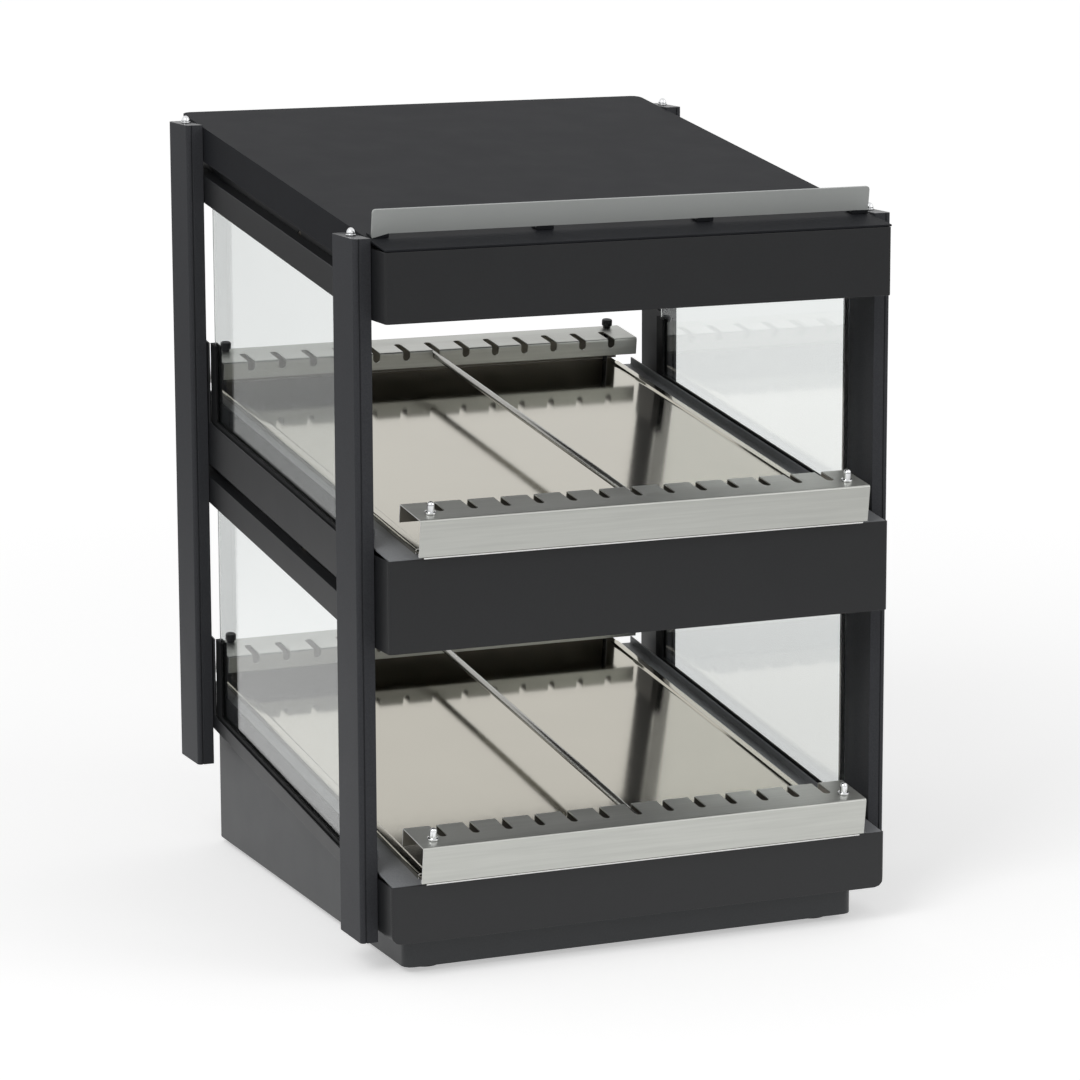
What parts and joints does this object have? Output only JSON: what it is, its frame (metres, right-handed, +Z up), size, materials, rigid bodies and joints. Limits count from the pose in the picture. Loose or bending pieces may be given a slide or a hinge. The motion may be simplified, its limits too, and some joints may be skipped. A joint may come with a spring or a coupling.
{
  "type": "heated shelf merchandiser",
  "caption": "Countertop heated display cabinet with sloping tiered shelves, glass sides, slotted divider rails, dark posts, fascias and a canopy, open front and rear.",
  "frame": {"origin": "middle of the footprint, on the surface the cabinet stands on", "axes": "+X to the right seen from the customer side, +Y towards the staff side at the rear, +Z up; the shelves slope down towards -Y"},
  "size_m": [0.457, 0.4936, 0.6375],
  "materials": {
    "post_coat": "satin dark coating",
    "chrome": "polished",
    "rubber": "matt",
    "dark_paint": "fine satin powder coat",
    "grey_paint": "fine satin powder coat",
    "sheath": "heat-darkened sheath",
    "glass": "clear, toughened",
    "gasket": "matt",
    "plate": "smooth warm-toned hardcoat",
    "foil": "foil-faced heating blanket",
    "stainless": "fine brushed",
    "black_plastic": "fine texture",
    "clear_strip": "smoky translucent"
  },
  "bodies": {
    "cabinet": {"post_front_left": "post_coat", "post_nut_front_left": "chrome", "foot_front_left": "rubber", "post_front_right": "post_coat", "post_nut_front_right": "chrome", "foot_front_right": "rubber", "post_rear_left": "post_coat", "post_nut_rear_left": "chrome", "foot_rear_left": "rubber", "post_rear_right": "post_coat", "post_nut_rear_right": "chrome", "foot_rear_right": "rubber", "header_housing": "dark_paint", "middle_housing": "dark_paint", "base_housing": "dark_paint", "header_fascia": "dark_paint", "middle_fascia": "dark_paint", "base_fascia": "dark_paint", "canopy_cover": "grey_paint", "base_pedestal": "grey_paint", "heating_rod_upper": "sheath", "heating_rod_lower": "sheath", "glass_upper_left": "glass", "gasket_upper_left": "gasket", "window_rail_upper_left": "dark_paint", "front_stud_upper_left": "chrome", "glass_upper_right": "glass", "gasket_upper_right": "gasket", "window_rail_upper_right": "dark_paint", "front_stud_upper_right": "chrome", "shelf_plate_upper": "plate", "heater_pad_upper": "foil", "rail_front_upper": "stainless", "rail_rear_upper": "stainless", "glass_lower_left": "glass", "gasket_lower_left": "gasket", "window_rail_lower_left": "dark_paint", "front_stud_lower_left": "chrome", "glass_lower_right": "glass", "gasket_lower_right": "gasket", "window_rail_lower_right": "dark_paint", "front_stud_lower_right": "chrome", "shelf_plate_lower": "plate", "heater_pad_lower": "foil", "rail_front_lower": "stainless", "rail_rear_lower": "stainless", "cable_gland": "black_plastic", "sign_holder": "clear_strip", "control_panel": "stainless"},
    "divider_rod_lower_body": {"divider_rod_lower": "stainless"},
    "divider_rod_upper_body": {"divider_rod_upper": "stainless"},
    "rocker_switch_light_body": {"rocker_switch_light": "black_plastic"},
    "rocker_switch_power_body": {"rocker_switch_power": "black_plastic"},
    "thermostat_knob_lower_body": {"thermostat_knob_lower": "black_plastic"},
    "thermostat_knob_upper_body": {"thermostat_knob_upper": "black_plastic"},
    "thumb_screw_lower_left_body": {"thumb_screw_lower_left": "black_plastic"},
    "thumb_screw_lower_right_body": {"thumb_screw_lower_right": "black_plastic"},
    "thumb_screw_upper_left_body": {"thumb_screw_upper_left": "black_plastic"},
    "thumb_screw_upper_right_body": {"thumb_screw_upper_right": "black_plastic"}
  },
  "joints": [
    {"name": "thermostat_upper_turn", "type": "hinge", "parent": "cabinet", "child": "thermostat_knob_upper_body", "pos_m": [-0.1065, 0.23416, 0.067], "axis": [0, -1, 0], "range_deg": [0, 270]},
    {"name": "thermostat_lower_turn", "type": "hinge", "parent": "cabinet", "child": "thermostat_knob_lower_body", "pos_m": [-0.0165, 0.23416, 0.067], "axis": [0, -1, 0], "range_deg": [0, 270]},
    {"name": "rocker_power_tip", "type": "hinge", "parent": "cabinet", "child": "rocker_switch_power_body", "pos_m": [0.0405, 0.23516, 0.067], "axis": [1, 0, 0], "range_deg": [0, 18]},
    {"name": "rocker_light_tip", "type": "hinge", "parent": "cabinet", "child": "rocker_switch_light_body", "pos_m": [0.075, 0.23516, 0.067], "axis": [1, 0, 0], "range_deg": [0, 18]},
    {"name": "thumb_screw_upper_left_turn", "type": "hinge", "parent": "cabinet", "child": "thumb_screw_upper_left_body", "pos_m": [-0.178, 0.23829, 0.40253], "axis": [0, -0.1392, 0.9903], "continuous": true},
    {"name": "thumb_screw_upper_right_turn", "type": "hinge", "parent": "cabinet", "child": "thumb_screw_upper_right_body", "pos_m": [0.178, 0.23829, 0.40253], "axis": [0, -0.1392, 0.9903], "continuous": true},
    {"name": "thumb_screw_lower_left_turn", "type": "hinge", "parent": "cabinet", "child": "thumb_screw_lower_left_body", "pos_m": [-0.178, 0.23829, 0.14653], "axis": [0, -0.1392, 0.9903], "continuous": true},
    {"name": "thumb_screw_lower_right_turn", "type": "hinge", "parent": "cabinet", "child": "thumb_screw_lower_right_body", "pos_m": [0.178, 0.23829, 0.14653], "axis": [0, -0.1392, 0.9903], "continuous": true},
    {"name": "divider_rod_upper_lift", "type": "slide", "parent": "cabinet", "child": "divider_rod_upper_body", "axis": [0, -0.1392, 0.9903], "range_m": [0, 0.06]},
    {"name": "divider_rod_lower_lift", "type": "slide", "parent": "cabinet", "child": "divider_rod_lower_body", "axis": [0, -0.1392, 0.9903], "range_m": [0, 0.06]}
  ]
}
